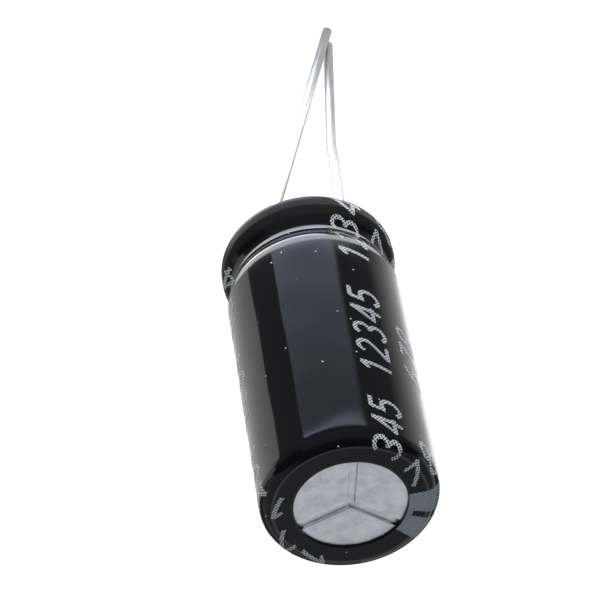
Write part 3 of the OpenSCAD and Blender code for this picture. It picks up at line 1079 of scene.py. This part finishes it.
def floor_finish(g):
    """Cards for mirror rays, grey paper for the rest, and a white glow added for the camera."""
    where = g.on_object()
    azimuth, distance, _ = polar(g, where)
    distance = distance * (1 / MM)
    x, y = (g.axis(where, k) * (1 / MM) for k in (0, 1))
    window = between(g, azimuth, *WINDOW)
    left_front = g.smooth(y - x, *LEFT_FRONT)
    blue = window * BLUE_SHARE + window * g.smooth(distance, *BLUE_FULL) * (1 - BLUE_SHARE)
    strength = (
        window_on_floor(g, distance) * window
        + rings_on_floor(g, azimuth, distance, left_front)
        + (1 - g.smooth(distance, *UNDER_ENDS)) * (left_front * UNDER_LEFT_LEVEL + UNDER_LEVEL)
        + side_cards_on_floor(g, azimuth, distance, y)
        + (1 - window) * GAP_LEVEL
    )
    cards = emission(g, g.mix(blue, NEUTRAL, WINDOW_BLUE), strength)
    diffuse = g.node("ShaderNodeBsdfDiffuse", {}, {"Color": FLOOR_TONE})
    seen, mirrored = (g.node("ShaderNodeLightPath", output=k) for k in (0, 3))
    extra = g.mix_shader(seen, emission(g, NEUTRAL, 0.0), emission(g, NEUTRAL, FLOOR_GLOW))
    paper = g.node("ShaderNodeAddShader", {}, {0: diffuse, 1: extra})
    g.cover(g.mix_shader(mirrored, paper, cards))


edge = np.linspace(-FLOOR_HALF, FLOOR_HALF, FLOOR_LINES_EACH_WAY)
x, y = np.meshgrid(edge, edge, indexing="ij")
sheet = np.stack([x, y, np.full_like(x, FLOOR_Z)], 2)
floor = shell("floor", [(sheet, grid_faces(*x.shape))], smooth=False)
dress([floor], material("pale_floor", floor_finish))

# %% [markdown]
# The world carries on with the same cards above the horizon, as runs of levels over the
# height in degrees. One more card has its own place, where the satin end of the can
# mirrors the camera. Its run goes over how far a ray is from that direction: a darker
# middle gives the end a soft gradient.

# %% The studio round the part
FRONT_SPAN = (-44, 42, 1.5, 8.0)
FRONT_CARD = ((0, 0.12), (25, 0.12), (45, 0.03), (50, 0.0))
LEFT_SIDE_FROM, RIGHT_SIDE_FROM = (-90, -84), (92, 104)
LEFT_SIDE = ((0, 0.4), (20, 0.3), (60, 0.2), (70, 0.0))
RIGHT_SIDE = ((0, 1.0), (12, 0.8), (25, 0.25), (60, 0.2), (70, 0.0))
TO_METAL_CARD = (0.0, -0.669, 0.743)
METAL_CARD = ((0.0, 0.04), (0.08, 0.04), (0.22, 0.5), (0.36, 0.5), (0.46, 0.0))
METAL_BLUE, METAL_BLUE_ENDS = 0.25, (0.5, 0.4)
PLAIN_LEVEL = 0.22


def background(g, colour, strength):
    """The world at a colour and a strength."""
    return g.node("ShaderNodeBackground", {}, {"Color": colour, "Strength": strength})


def studio(g):
    """White for the camera, a plain level for diffuse rays, and cards for mirror rays."""
    where = g.node("ShaderNodeTexCoord", output=0)
    azimuth, _, z = polar(g, where)
    height = g.maths("ARCSINE", z) * (180 / np.pi)
    front = curve(g, height, FRONT_CARD) * between(g, azimuth, *FRONT_SPAN)
    left = (1 - g.smooth(azimuth, *LEFT_SIDE_FROM)) * curve(g, height, LEFT_SIDE)
    right = g.smooth(azimuth, *RIGHT_SIDE_FROM) * curve(g, height, RIGHT_SIDE)
    off_mirror = g.node("ShaderNodeVectorMath", {"operation": "DISTANCE"}, {0: where, 1: TO_METAL_CARD}, 1)
    strength = front + left + right + curve(g, off_mirror, METAL_CARD)
    colour = g.mix(g.smooth(off_mirror, *METAL_BLUE_ENDS) * METAL_BLUE, NEUTRAL, WINDOW_BLUE)
    seen, mirrored, through = (g.node("ShaderNodeLightPath", output=k) for k in (0, 3, 6))
    direct = g.mix_shader(seen, background(g, NEUTRAL, PLAIN_LEVEL), background(g, NEUTRAL, 1.0))
    both = g.mix_shader(g.smooth(mirrored + through, 0, 1), direct, background(g, colour, strength))
    g.node("ShaderNodeOutputWorld", {}, {"Surface": both})


world = bpy.data.worlds.new("studio")
bpy.context.scene.world = world
studio(Graph(world))
print(f"studio: {len(world.node_tree.nodes)} nodes")

# %% [markdown]
# Two soft boxes give the pale floor its shadow and the matt pieces their form. The film
# would show them as bright squares, and the cards already do that work, so the lamps are
# hidden from mirror rays.

# %% Lamps
def lamp(name, place, size, power):
    """A square soft box that faces the middle of the can: millimetres and watts."""
    data = bpy.data.lights.new(name, "AREA")
    data.size, data.energy = size * MM, power
    item = bpy.data.objects.new(name, data)
    bpy.context.scene.collection.objects.link(item)
    item.location = Vector(place) * MM
    item.rotation_mode = "QUATERNION"
    item.rotation_quaternion = Vector(np.array(place) - AIM).to_track_quat("Z", "Y")
    print(f"{name}: {power} W, {size} mm across")
    return item


key = lamp("key", (60, 500, 60), 260, 2.6)
fill = lamp("fill", (-250, -500, 300), 300, 0.7)
key.visible_glossy = fill.visible_glossy = False

# %% [markdown]
# ## Finish
#
# The colours go out through the Standard view transform.

# %% The view transform
bpy.context.scene.view_settings.view_transform = "Standard"
